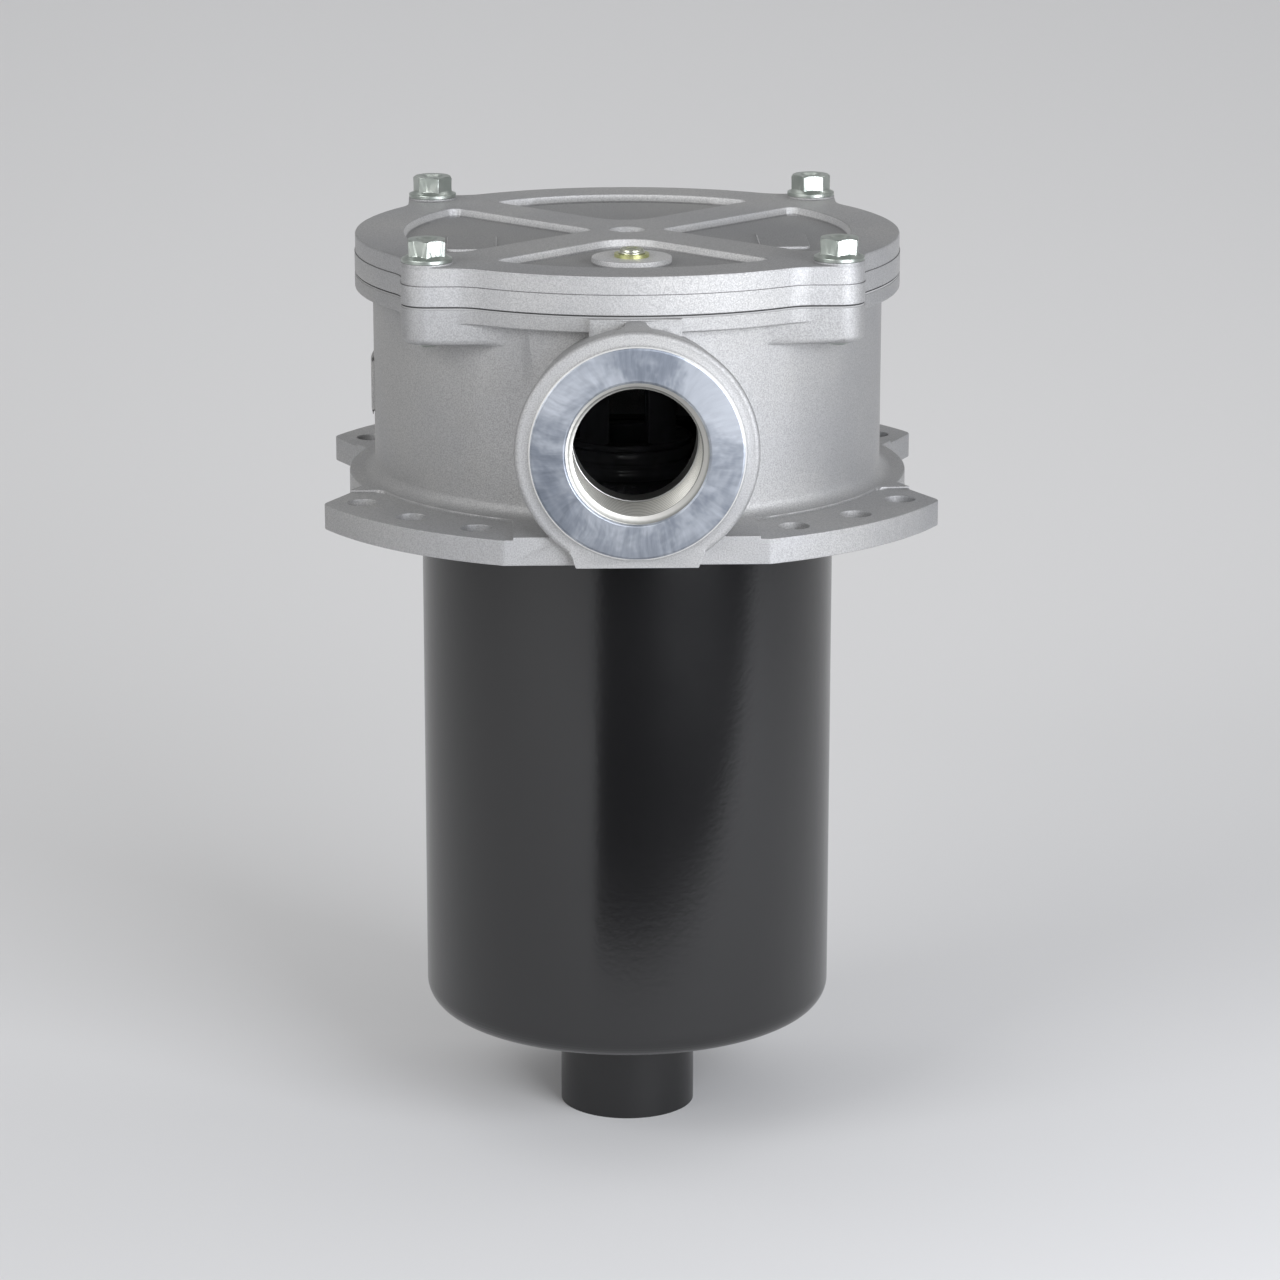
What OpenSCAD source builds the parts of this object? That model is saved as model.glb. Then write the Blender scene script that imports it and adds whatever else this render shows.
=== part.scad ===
// Tank-top return-line hydraulic filter.
// A cast head with a side inlet port and a drilled mounting flange, a bolted cast cover,
// a deep-drawn bowl with an outlet tube, and a pleated element with a bypass valve inside.
// Origin: centre of the outlet tube's lower end. +Z runs up through the cover, -Y out of the port.

/* [Head] */
// Outside diameter of the head wall
head_d = 187; // [180:1:192]
// Thickness of the head wall
head_wall = 6; // [5:0.5:8]
// Height of the head from the underside of its flange to the cover joint
head_h = 83.7; // [82:0.5:110]
// Diameter of the lip under the cover, and of the cover
lip_d = 200; // [196:1:206]
// Thickness of the lip
lip_t = 5.3; // [4:0.1:8]
// Fillet between the head wall and the flange
foot_fillet = 4.5; // [2:0.5:6]

/* [Flange] */
// Width of metal from a mounting hole's centre to the rim of its lug
lug_margin = 13.5; // [9:0.5:16]
// Width of metal from the outer hole's centre to the side of its lug
lug_side = 11.9; // [8:0.1:13]
// Width between the flats at the front and rear
flange_flat = 232; // [228:1:240]
// Thickness of the lugs
lug_t = 9.1; // [7:0.1:14]
// Step up from the lugs to the hub
hub_rise = 1; // [0.5:0.1:2]
// Diameter of the hub step
hub_d = 197; // [195:0.5:200]
// Diameter across the plate in the side notches
notch_d = 206; // [204:0.5:212]
// Slope of the lugs' sides, in degrees from the X axis
notch_slope = 63; // [50:1:75]
// Pitch circle of the mounting holes
mount_pcd = 223; // [220:0.5:228]
// Diameter of a mounting hole
mount_hole_d = 11; // [8:0.5:12]

/* [Inlet port] */
// Diameter of the threaded bore, at the thread crests
port_bore_d = 44.86; // [36:0.02:48]
// Depth of the machined bore
port_depth = 25; // [18:1:30]
// Outside diameter of the port boss at its face
port_boss_d = 85; // [82:0.5:88]
// Diameter of the machined sealing face
port_face_d = 74.2; // [70:0.1:78]
// Distance of the sealing face from the filter's axis
port_reach = 122; // [119:0.5:135]
// Height of the port axis above the underside of the flange
port_h = 40.5; // [38:0.5:42]
// Width of the foot under the port
port_foot_w = 42.6; // [36:0.2:48]

/* [Cover] */
// Thickness of the cover
cover_t = 13.75; // [11:0.25:20]
// Distance between neighbouring cover bolts
bolt_pitch = 144.7; // [142:0.1:150]
// Thickness of the cover gasket
gasket_t = 1; // [0.5:0.1:2]
// Depth of the four pockets in the cover
pocket_depth = 3.2; // [1:0.1:4.5]
// Radius of the pockets' outer wall
pocket_r = 82; // [70:0.5:84]
// Distance of the bleed plug from the filter's axis
plug_y = 54; // [46:0.5:58]

/* [Cover bolts] */
// Thread diameter of the cover bolts
bolt_d = 8; // [6:1:8]
// Length under the head of a cover bolt
bolt_len = 30; // [28:1:50]
// Width across the flats of the bolt head
bolt_af = 13; // [10:0.5:14]
// Diameter of the bolt's flange
bolt_flange_d = 17.9; // [15:0.1:18]

/* [Bowl and outlet] */
// Outside diameter of the bowl
bowl_d = 152.8; // [140:0.2:154]
// Wall thickness of the bowl
bowl_t = 1.5; // [1:0.1:2.5]
// Length of the bowl below the flange
bowl_drop = 197.5; // [150:0.5:400]
// Outside radius of the bowl's bottom corner
bowl_corner = 8.5; // [5:0.5:14]
// Outside diameter of the outlet tube
tube_d = 50.8; // [40:0.2:60]
// Wall thickness of the outlet tube
tube_t = 2; // [1.5:0.1:3]
// Length of the outlet tube below the bowl
tube_drop = 41.7; // [30:0.1:120]

/* [Element] */
// Number of pleats
pleats = 60; // [30:1:80]
// Diameter over the pleats
pleat_d = 122; // [110:1:124]
// Depth of a pleat
pleat_depth = 26; // [15:1:28]
// Thickness of the folded media
media_t = 0.9; // [0.6:0.1:1.2]

/* [Bypass valve] */
// Diameter of the valve seat
seat_d = 28; // [24:0.5:30]
// Travel of the bypass poppet
poppet_travel = 6; // [3:0.5:8]

/* [Hidden] */
$fn = 96;
cut = 1;                 // overlap of one cutting shape past the face that it cuts

// Levels, from the outlet tube's lower end upwards
flange_z = tube_drop + bowl_drop;
hub_z = flange_z + lug_t + hub_rise;
head_top = flange_z + head_h;
lip_z = head_top - lip_t;
cover_z = head_top + gasket_t;
cover_top = cover_z + cover_t;
port_z = flange_z + port_h;

// Radii
head_r = head_d / 2;
lip_r = lip_d / 2;
chamber_r = head_r - head_wall;
bowl_r = bowl_d / 2;
tube_r = tube_d / 2;
tube_in_r = tube_r - tube_t;
port_boss_r = port_boss_d / 2;
port_bore_r = port_bore_d / 2;

// Flange details
hole_angles = [30, 45, 60];      // from the middle of the front and of the rear
flange_d = mount_pcd + 2 * lug_margin;
lug_corner = 5;
hub_corner = 5;
hub_side = 40;           // half length of the hub step beside the notches
hub_front = 43;          // half length of the raised strip under the port

// Bolt lobes and the bosses below them
lobe_r = 9.35;
lobe_blend = 18;         // hollow between a lobe's side and the round of the cover
boss_drop = 7.8;         // depth of the bolt bosses below the lip
seat_rise = 0.9;         // raised seat under a bolt's flange
fit_gap = 0.1;           // radial clearance of a located fit
thread_gap = 0.05;
hex_turn = [7, 20, 33, 46];    // how each bolt's hexagon happens to stand

// Port details
boss_neck = 3.8;         // the boss narrows by this much from its rim to the wall
boss_edge = 1.9;         // round of the rim's outer edge
face_step = 1.5;         // the machined face stands proud of the cast rim
face_slope = 1.3;        // width of the slope from the rim up to the machined face
thread_h = 1.48;         // depth of the pipe thread
mouth_flare = 1.6;       // widening of the countersink from the thread's roots to the face
mouth_l = 1.4;
cast_bore_r = port_bore_r - 0.5;
foot_blend = 4;
foot_flare = 0.8;        // the foot's sides lean out by this much
pad_half = 16.1;         // half width of the pad between the port boss and the lip
pad_proud = 1.2;
pad_drop = 8;
tongue_half = 3.8;       // half width, at the lip, of the tongue on the crown of the boss

// Bowl seat inside the head
ledge_z = flange_z + lug_t + 0.9;
bowl_fit = 0.5;
rim_w = 8;
ring_d = 3;              // section of the bowl's seal ring
ring_groove_w = 3.8;
ring_r = bowl_r + bowl_fit + (rim_w - bowl_fit) / 2;

// Element, standing on the inner end of the outlet tube
tube_top = tube_drop + bowl_t + 2;
cap_t = 3;
cap_skirt = 9;
cap_wall = 1.6;
cap_gap = 0.4;           // between the pleats and the cap's skirt
cap_r = pleat_d / 2 + cap_gap + cap_wall;
media_z = tube_top + cap_t;
top_cap_z = hub_z - 4.2;          // inner face of the upper end cap
core_r = pleat_d / 2 - pleat_depth - 0.6;
core_t = 1;
neck_r = 25;
neck_h = 10.6;
neck_wall = 3.5;
neck_z = top_cap_z + cap_t;
neck_top = neck_z + neck_h;
neck_step_z = neck_z + 5.4;    // groove round the neck
spigot_r = tube_in_r - 0.4;
spigot_len = 17;
spigot_ring_d = 2.6;
spigot_wall = 4.5;
spigot_ring_z = tube_top - 9;
ring_gap = 0.05;         // clearance of a seal ring in its groove

// Bypass valve in the neck of the upper end cap
valve_wire = 1.6;
valve_coil_r = 8.5;
hold_wire = 3;
hold_coil_r = 13.5;
cage_r = neck_r - neck_wall - fit_gap;
seat_r = seat_d / 2;
cage_ring_d = 1.5;
cage_groove_d = 1.5;
cage_ring_z = neck_z + 2.1;
cage_window_h = 22;
cage_window_w = 14;
cage_wall = 2.5;
cage_rim_t = 2.5;
cage_roof_t = 4;
spring_seat_r = hold_coil_r - hold_wire / 2 - 0.4;
cage_top = neck_top + cage_rim_t + cage_window_h + cage_roof_t;
poppet_r = seat_r + 2.4;
poppet_t = 2.6;
poppet_z = top_cap_z - 2.5;       // sealing plane of the seat
stem_r = 4;
stem_gap = 0.1;
retainer_drop = 21 + poppet_travel;    // room for the poppet, the closed spring and the travel
retainer_t = 3;
leg_w = 6;
leg_t = 2.2;

// Cover details
parting_h = 7.1;         // height of the parting line above the cover joint
parting_step = 0.25;
pocket_slope = 1.1;
pocket_half_angle = 44.5;
pocket_round = 4;
front_apex = 14.85;      // distance of the sharp inner corner from the axis, front and rear pockets
front_tip_r = 15;
side_apex = 11.5;        // the same for the side pockets
dimple_r = 6.75;
dimple_depth = 2.4;
under_recess = 4.1;      // depth of the recess in the cover's underside
spigot_drop = 4;
spigot_w = 6;
plug_boss_r = 14.3;
plug_boss_h = 2.4;
plug_thread_r = 4;
plug_head_r = 4.3;
plug_head_h = 1.9;
plug_socket_af = 4;
plug_seal_r = 6.2;
plug_seal_t = 1.2;
plug_floor = cover_top - pocket_depth + plug_boss_h;

// Side pad on the head wall
side_pad_z = flange_z + 32.5;
side_pad_h = 19.5;
side_pad_l = 40;
side_pad_proud = 1.1;

aluminium = [0.72, 0.73, 0.74];
zinc = [0.78, 0.80, 0.76];
black_steel = [0.05, 0.05, 0.055];
black_plastic = [0.04, 0.04, 0.045];
rubber = [0.08, 0.08, 0.08];
spring_steel = [0.35, 0.35, 0.37];

// Points of an arc, from one angle to another
function arc(cx, cy, r, a0, a1, n = 8) =
    [for (i = [0:n]) let (a = a0 + (a1 - a0) * i / n) [cx + r * cos(a), cy + r * sin(a)]];

// Points of one turn of a round wire's section, n corners
function ring_pts(r, n) = [for (i = [0:n - 1]) [r * cos(360 * i / n), r * sin(360 * i / n)]];

// Compression spring between two planes, swept along a helix; its end turns lie almost closed
module coil_spring(coil_r, wire_d, z0, z1, turns, steps = 14, sides = 8) {
    closed = 1;
    total = turns + 2 * closed;
    n = floor(total * steps);
    lift = z1 - z0 - wire_d;
    closed_pitch = 1.06 * wire_d;
    open_pitch = (lift - 2 * closed * closed_pitch) / turns;
    function rise(t) = min(t, closed) * closed_pitch + max(0, min(t - closed, turns)) * open_pitch
                       + max(0, t - closed - turns) * closed_pitch;
    section = ring_pts(wire_d / 2, sides);
    pts = [for (i = [0:n]) let (t = total * i / n, a = 360 * t)
           for (p = section)
               [(coil_r + p[0]) * cos(a), (coil_r + p[0]) * sin(a), z0 + wire_d / 2 + rise(t) + p[1]]];
    start = [[for (j = [0:sides - 1]) j]];
    end = [[for (j = [sides - 1:-1:0]) n * sides + j]];
    wall = [for (i = [0:n - 1]) for (j = [0:sides - 1]) let (k = (j + 1) % sides)
            [i * sides + j, (i + 1) * sides + j, (i + 1) * sides + k, i * sides + k]];
    polyhedron(points = pts, faces = concat(start, wall, end), convexity = 8);
}

// Torus lying flat, for a seal ring
module seal_ring(r, wire_d, z) {
    translate([0, 0, z])
        rotate_extrude()
            translate([r, 0]) circle(d = wire_d, $fn = 24);
}

// Plan of the bolt square with round corners
module bolt_square(grow = 0) {
    side = bolt_pitch + 2 * (lobe_r + grow);
    square([bolt_pitch, side], center = true);
    square([side, bolt_pitch], center = true);
    at_bolts() circle(r = lobe_r + grow, $fn = 48);
}

// Hollow corners between the lobes' sides and the round; each crosses both by a hair
module lobe_blends(grow) {
    hair = 0.02;
    side = bolt_pitch / 2 + lobe_r + grow;
    round_r = lip_r + grow;
    centre = [sqrt(pow(round_r + lobe_blend, 2) - pow(side + lobe_blend, 2)), side + lobe_blend];
    meet = centre * round_r / (round_r + lobe_blend);
    for (turn = [0:90:270]) rotate(turn)
        difference() {
            polygon([[-centre[0], side - cut], [centre[0], side - cut], centre, meet,
                     [-meet[0], meet[1]], [-centre[0], centre[1]]]);
            for (s = [-1, 1]) translate([s * centre[0], centre[1]])
                circle(r = lobe_blend + hair, $fn = 120);
        }
}

module cover_plan(grow = 0) {
    circle(r = lip_r + grow, $fn = 144);
    bolt_square(grow);
    lobe_blends(grow);
}

module at_bolts() {
    for (x = [-1, 1], y = [-1, 1]) translate([x, y] * bolt_pitch / 2) children();
}

// Gap between the lugs on the +X side; its sides pass the outer holes at an even distance
module notch_plan() {
    outer = hole_angles[len(hole_angles) - 1];
    side = [cos(notch_slope), sin(notch_slope)];
    hole = mount_pcd / 2 * [sin(outer), cos(outer)];
    near = hole + lug_side * [side[1], -side[0]];
    low = near - notch_d / 4 * side;
    far = near + flange_d * side;
    difference() {
        polygon([[low[0], -low[1]], [far[0], -far[1]], far, low]);
        circle(d = notch_d, $fn = 144);
    }
}

// Plan of the mounting flange: round, flat at front and rear, notched at the sides
module flange_plan() {
    offset(r = lug_corner, $fn = 40) offset(delta = -lug_corner)
        difference() {
            intersection() {
                circle(d = flange_d, $fn = 144);
                square([flange_d, flange_flat], center = true);
            }
            for (s = [-1, 1]) scale([s, 1]) notch_plan();
        }
}

// The hub step: a disc, the plates beside the notches and the strip under the port
module hub_plan() {
    offset(r = -hub_corner, $fn = 40) offset(delta = hub_corner) {
        circle(d = hub_d, $fn = 144);
        square([flange_d, 2 * hub_side], center = true);
        translate([-hub_front, -flange_flat / 2]) square([2 * hub_front, flange_flat / 2]);
    }
}

module mount_holes() {
    for (front = [-90, 90], side = [-1, 1], a = hole_angles)
        rotate(front + side * a) translate([mount_pcd / 2, 0, flange_z - cut])
            cylinder(d = mount_hole_d, h = lug_t + hub_rise + 2 * cut, $fn = 40);
}

// Fillet ring where the head wall rises from the hub
module wall_fillet() {
    translate([0, 0, hub_z])
        rotate_extrude()
            polygon(concat([[head_r - cut, -cut], [head_r + foot_fillet, -cut]],
                           arc(head_r + foot_fillet, foot_fillet, foot_fillet, 270, 180, 8),
                           [[head_r - cut, foot_fillet]]));
}

// Plan of the foot that carries the port boss, with hollow sides; the port axis is the origin
module port_foot_plan() {
    half = port_foot_w / 2;
    side_x = half + foot_flare + foot_blend;
    reach = port_boss_r + foot_blend;
    side_z = sqrt(reach * reach - side_x * side_x);
    side = arc(side_x, -side_z, foot_blend, 180, 180 - atan2(side_z, side_x), 6);
    polygon(concat([[half, -port_h]], side, [[0, 0]],
                   [for (i = [len(side) - 1:-1:0]) [-side[i][0], side[i][1]]], [[-half, -port_h]]));
}

// The port boss narrows towards the wall, stands on its foot and ends level with the flange
module port_boss() {
    cast_len = port_reach - face_step;
    face_r = port_face_d / 2;
    neck = port_boss_r - boss_neck;
    intersection() {
        translate([0, 0, port_z]) rotate([90, 0, 0]) {
            rotate_extrude()
                polygon(concat([[0, 0], [neck, 0], [neck, chamber_r]],
                               arc(port_boss_r - boss_edge, cast_len - boss_edge, boss_edge, 0, 90, 4),
                               [[face_r + face_slope, cast_len], [face_r, port_reach], [0, port_reach]]));
            linear_extrude(cast_len) port_foot_plan();
        }
        translate([-port_boss_r, -port_reach, flange_z]) cube([2 * port_boss_r, port_reach, 2 * port_boss_r]);
    }
}

// Pad from the port boss up to the lip, and the flared tongue on the crown of the boss
module port_pad() {
    front_y = lip_r + pad_proud;
    rim_y = port_reach - face_step - boss_edge;
    flare_r = 1.65 * (rim_y - front_y);
    edge = arc(tongue_half + flare_r, -front_y, flare_r, 180, 180 + asin((rim_y - front_y) / flare_r), 6);
    translate([-pad_half, -front_y, lip_z - pad_drop])
        cube([2 * pad_half, head_wall + front_y - head_r, lip_t + pad_drop]);
    intersection() {
        translate([0, 0, port_z]) rotate([90, 0, 0]) cylinder(r = port_boss_r - fit_gap, h = rim_y);
        translate([0, 0, port_z + port_boss_r - boss_neck - boss_edge])
            linear_extrude(boss_neck + boss_edge)
                polygon(concat([[tongue_half, -chamber_r]], edge,
                               [for (i = [len(edge) - 1:-1:0]) [-edge[i][0], edge[i][1]]],
                               [[-tongue_half, -chamber_r]]));
    }
}

// Threaded bore with its countersink, and the narrower cast passage behind it
module port_bore() {
    start = port_reach - port_depth;
    root_r = port_bore_r + thread_h;
    translate([0, 0, port_z]) rotate([90, 0, 0]) {
        translate([0, 0, chamber_r - 2 * head_wall]) cylinder(r = cast_bore_r, h = port_reach);
        rotate_extrude()
            polygon([[0, start], [port_bore_r, start], [port_bore_r, port_reach - mouth_l - thread_h],
                     [root_r, port_reach - mouth_l], [root_r + mouth_flare, port_reach],
                     [root_r + mouth_flare, port_reach + cut], [0, port_reach + cut]]);
    }
}

module head() {
    color(aluminium)
        difference() {
            union() {
                translate([0, 0, flange_z]) linear_extrude(lug_t) flange_plan();
                translate([0, 0, flange_z]) linear_extrude(lug_t + hub_rise)
                    intersection() {
                        flange_plan();
                        hub_plan();
                    }
                translate([0, 0, flange_z]) cylinder(r = head_r, h = head_h, $fn = 144);
                wall_fillet();
                translate([0, 0, lip_z]) linear_extrude(lip_t) cover_plan();
                translate([0, 0, lip_z - boss_drop]) linear_extrude(boss_drop + cut) bolt_square();
                port_boss();
                port_pad();
                side_pad();
            }
            translate([0, 0, ledge_z]) cylinder(r = chamber_r, h = head_h, $fn = 144);
            translate([0, 0, flange_z - cut]) cylinder(r = bowl_r + bowl_fit, h = head_h, $fn = 144);
            bowl_seal_groove();
            port_bore();
            mount_holes();
            at_bolts() translate([0, 0, lip_z - boss_drop - cut])
                cylinder(r = bolt_d / 2 + thread_gap, h = lip_t + boss_drop + 2 * cut, $fn = 32);
        }
}

// Plain raised pad on the left of the head wall
module side_pad() {
    translate([0, 0, side_pad_z])
        intersection() {
            cylinder(r = head_r + side_pad_proud, h = side_pad_h, $fn = 144);
            translate([-head_r - 2 * side_pad_proud, -side_pad_l / 5, 0])
                cube([2 * head_wall, side_pad_l, side_pad_h]);
        }
}

module bowl_seal_groove() {
    translate([0, 0, ledge_z - ring_d - ring_gap])
        difference() {
            cylinder(r = ring_r + ring_groove_w / 2, h = ring_d + cut);
            translate([0, 0, -cut]) cylinder(r = ring_r - ring_groove_w / 2, h = ring_d + 3 * cut);
        }
}

// One pocket's plan, opening towards -Y from its apex; tip_r rounds its inner corner
module pocket_plan(apex, tip_r, shrink = 0) {
    reach = 3 * pocket_r;
    offset(r = pocket_round - shrink, $fn = 40) offset(delta = -pocket_round)
        intersection() {
            circle(r = pocket_r, $fn = 120);
            offset(r = tip_r, $fn = 48) offset(delta = -tip_r)
                translate([0, -apex])
                    polygon([[0, 0], reach * [-sin(pocket_half_angle), -cos(pocket_half_angle)],
                             reach * [sin(pocket_half_angle), -cos(pocket_half_angle)]]);
        }
}

module pocket(apex, tip_r) {
    hull() {
        translate([0, 0, cover_top - pocket_depth])
            linear_extrude(0.01) pocket_plan(apex, tip_r, pocket_slope);
        translate([0, 0, cover_top])
            linear_extrude(0.01) pocket_plan(apex, tip_r);
    }
}

module cover() {
    color(aluminium)
        difference() {
            union() {
                translate([0, 0, cover_z]) linear_extrude(parting_h) cover_plan();
                translate([0, 0, cover_z]) linear_extrude(cover_t) cover_plan(-parting_step);
                at_bolts() translate([0, 0, cover_z])
                    cylinder(r = lobe_r - parting_step, h = cover_t + seat_rise);
                translate([0, 0, cover_z - spigot_drop])
                    cylinder(r = chamber_r - fit_gap * 3, h = spigot_drop + cut, $fn = 144);
            }
            difference() {
                union() {
                    for (turn = [0, 180]) rotate(turn) pocket(front_apex, front_tip_r);
                    for (turn = [90, -90]) rotate(turn) pocket(side_apex, pocket_round);
                }
                translate([0, -plug_y, cover_z]) cylinder(r = plug_boss_r, h = plug_floor - cover_z);
            }
            translate([0, 0, cover_top - dimple_depth])
                cylinder(r1 = dimple_r - 1.8, r2 = dimple_r, h = dimple_depth + 0.001);
            difference() {
                translate([0, 0, cover_z - spigot_drop - cut])
                    cylinder(r = chamber_r - spigot_w, h = under_recess + spigot_drop + cut);
                translate([0, 0, cover_z - spigot_drop])
                    cylinder(r = spring_seat_r, h = under_recess + spigot_drop + cut);
                translate([0, -plug_y, cover_z]) cylinder(r = 2 * plug_thread_r, h = under_recess + cut);
            }
            translate([0, -plug_y, cover_z - spigot_drop - cut])
                cylinder(r = plug_thread_r + thread_gap, h = 2 * cover_t, $fn = 40);
            at_bolts() translate([0, 0, cover_z - cut])
                cylinder(r = bolt_d / 2 + 0.5, h = cover_t + seat_rise + 2 * cut, $fn = 40);
        }
}

module cover_gasket() {
    color([0.12, 0.12, 0.12])
        translate([0, 0, head_top])
            linear_extrude(gasket_t)
                difference() {
                    cover_plan(-0.3);
                    circle(r = chamber_r, $fn = 144);
                    at_bolts() circle(r = bolt_d / 2 + 0.4, $fn = 40);
                }
}

// Hexagon flange bolt; i counts anticlockwise from the front right
module cover_bolt(i) {
    hex_r = bolt_af / 2 / cos(30);
    head_h = bolt_d;
    flange_t = 1.4;
    cone_h = 2.8;
    rotate(-45 + 90 * i) translate([bolt_pitch / sqrt(2), 0, cover_top + seat_rise])
        color(zinc)
            difference() {
                union() {
                    intersection() {
                        rotate(hex_turn[i]) cylinder(r = hex_r, h = head_h, $fn = 6);
                        cylinder(r1 = hex_r + head_h, r2 = bolt_af / 2 - 0.3, h = head_h + 0.4,
                                 $fn = 48);
                    }
                    cylinder(d = bolt_flange_d, h = flange_t, $fn = 48);
                    translate([0, 0, flange_t])
                        cylinder(r1 = bolt_flange_d / 2 - 0.7, r2 = bolt_af / 2, h = cone_h - flange_t,
                                 $fn = 48);
                    translate([0, 0, -bolt_len + 1]) cylinder(d = bolt_d, h = bolt_len, $fn = 32);
                    translate([0, 0, -bolt_len])
                        cylinder(r1 = bolt_d / 2 - 1, r2 = bolt_d / 2, h = 1, $fn = 32);
                }
                translate([0, 0, head_h - 0.9]) cylinder(r1 = 2.6, r2 = 4.4, h = 1.2, $fn = 32);
            }
}

module bleed_plug() {
    top = plug_floor + plug_seal_t;
    edge = 0.5;
    color([0.72, 0.72, 0.45])
        translate([0, -plug_y, 0])
            difference() {
                union() {
                    translate([0, 0, top]) cylinder(r = plug_head_r + edge, h = edge, $fn = 48);
                    translate([0, 0, top]) cylinder(r = plug_head_r, h = plug_head_h - edge, $fn = 48);
                    translate([0, 0, top + plug_head_h - edge])
                        cylinder(r1 = plug_head_r, r2 = plug_head_r - edge, h = edge, $fn = 48);
                    translate([0, 0, cover_z + 1]) cylinder(r = plug_thread_r, h = top - cover_z, $fn = 40);
                }
                translate([0, 0, top + plug_head_h - plug_socket_af])
                    cylinder(r = plug_socket_af / 2 / cos(30), h = plug_socket_af + cut, $fn = 6);
            }
}

module bleed_plug_seal() {
    color([0.6, 0.65, 0.3])
        translate([0, -plug_y, plug_floor])
            difference() {
                cylinder(r = plug_seal_r, h = plug_seal_t, $fn = 48);
                translate([0, 0, -cut])
                    cylinder(r = plug_thread_r + 0.15, h = plug_seal_t + 2 * cut, $fn = 40);
            }
}

// Deep-drawn bowl: a revolved wall of even thickness, with a rim above and a holed bottom
module bowl() {
    z = tube_drop;
    in_r = bowl_r - bowl_t;
    bend = 1.5;
    color(black_steel)
        rotate_extrude($fn = 144)
            polygon(concat(
                [[tube_r + fit_gap, z]],
                arc(bowl_r - bowl_corner, z + bowl_corner, bowl_corner, 270, 360, 10),
                [[bowl_r, ledge_z], [bowl_r + rim_w, ledge_z], [bowl_r + rim_w, ledge_z + bowl_t]],
                arc(in_r + bend, ledge_z + bowl_t - bend, bend, 90, 180, 6),
                arc(bowl_r - bowl_corner, z + bowl_corner, bowl_corner - bowl_t, 360, 270, 10),
                [[tube_r + fit_gap, z + bowl_t]]));
}

module bowl_seal() {
    color(rubber) seal_ring(ring_r, ring_d, ledge_z - ring_d / 2);
}

// Outlet tube with its weld collar under the bowl
module outlet_tube() {
    weld = 2.5;
    color(black_steel)
        rotate_extrude()
            polygon(concat(
                [[tube_in_r, 0], [tube_r, 0], [tube_r, tube_drop - weld]],
                arc(tube_r + weld, tube_drop - weld, weld, 180, 90, 5),
                [[tube_r, tube_drop], [tube_r, tube_top], [tube_in_r, tube_top]]));
}

module element_top_cap() {
    pocket_r = pleat_d / 2 + cap_gap;
    in_r = neck_r - neck_wall;
    groove_d = 0.9;
    edge = 0.8;
    color(black_plastic)
        rotate_extrude()
            polygon([[in_r, top_cap_z - 2], [neck_r, top_cap_z - 2], [neck_r, top_cap_z],
                     [pocket_r, top_cap_z], [pocket_r, top_cap_z - cap_skirt], [cap_r, top_cap_z - cap_skirt],
                     [cap_r, neck_z - 1], [cap_r - 1, neck_z], [neck_r, neck_z],
                     [neck_r, neck_step_z - 1], [neck_r - groove_d, neck_step_z - 0.5],
                     [neck_r - groove_d, neck_step_z + 0.5], [neck_r, neck_step_z + 1],
                     [neck_r, neck_top - edge], [neck_r - edge, neck_top], [in_r, neck_top]]);
}

module element_bottom_cap() {
    in_r = spigot_r - spigot_wall;
    groove_r = tube_in_r - spigot_ring_d - 2 * ring_gap;
    groove_half = spigot_ring_d / 2 + 0.3;
    end_z = tube_top - spigot_len;
    pocket_r = pleat_d / 2 + cap_gap;
    color(black_plastic)
        rotate_extrude()
            polygon([[in_r, end_z], [spigot_r - 1, end_z], [spigot_r, end_z + 2],
                     [spigot_r, spigot_ring_z - groove_half], [groove_r, spigot_ring_z - groove_half],
                     [groove_r, spigot_ring_z + groove_half], [spigot_r, spigot_ring_z + groove_half],
                     [spigot_r, tube_top], [cap_r, tube_top], [cap_r, media_z + cap_skirt],
                     [pocket_r, media_z + cap_skirt], [pocket_r, media_z], [in_r, media_z]]);
}

module element_seal() {
    color(rubber) seal_ring(tube_in_r - ring_gap - spigot_ring_d / 2, spigot_ring_d, spigot_ring_z);
}

// Pleated media: one closed zigzag of even thickness
module element_media() {
    out_r = pleat_d / 2;
    in_r = out_r - pleat_depth;
    step = 180 / pleats;
    half = media_t / 2;
    function zig(out, inn) = [for (i = [0:2 * pleats - 1]) let (r = i % 2 == 0 ? out : inn, a = i * step)
                              [r * cos(a), r * sin(a)]];
    slant = atan2(PI * (out_r + in_r) / 2 / pleats, pleat_depth);
    tip = half / sin(slant) * 0.8;
    color([0.86, 0.80, 0.62])
        translate([0, 0, media_z + 0.1])
            linear_extrude(top_cap_z - media_z - 0.2)
                difference() {
                    polygon(zig(out_r, in_r + tip));
                    polygon(zig(out_r - tip, in_r));
                }
}

// Perforated tube inside the pleats
module element_core() {
    rows = 8;
    columns = 6;
    pitch = (top_cap_z - media_z - 20) / rows;
    color([0.6, 0.6, 0.6])
        translate([0, 0, media_z + 0.1])
            difference() {
                cylinder(r = core_r, h = top_cap_z - media_z - 0.2);
                translate([0, 0, -cut]) cylinder(r = core_r - core_t, h = top_cap_z - media_z + 2 * cut);
                for (i = [0:rows - 1], j = [0:columns - 1])
                    rotate(360 / columns * (j + (i % 2) / 2))
                        translate([core_r - 2 * core_t, 0, 10 + pitch * (i + 0.5)])
                            rotate([0, 90, 0]) cylinder(d = 9, h = 3 * core_t, $fn = 16);
            }
}

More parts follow.
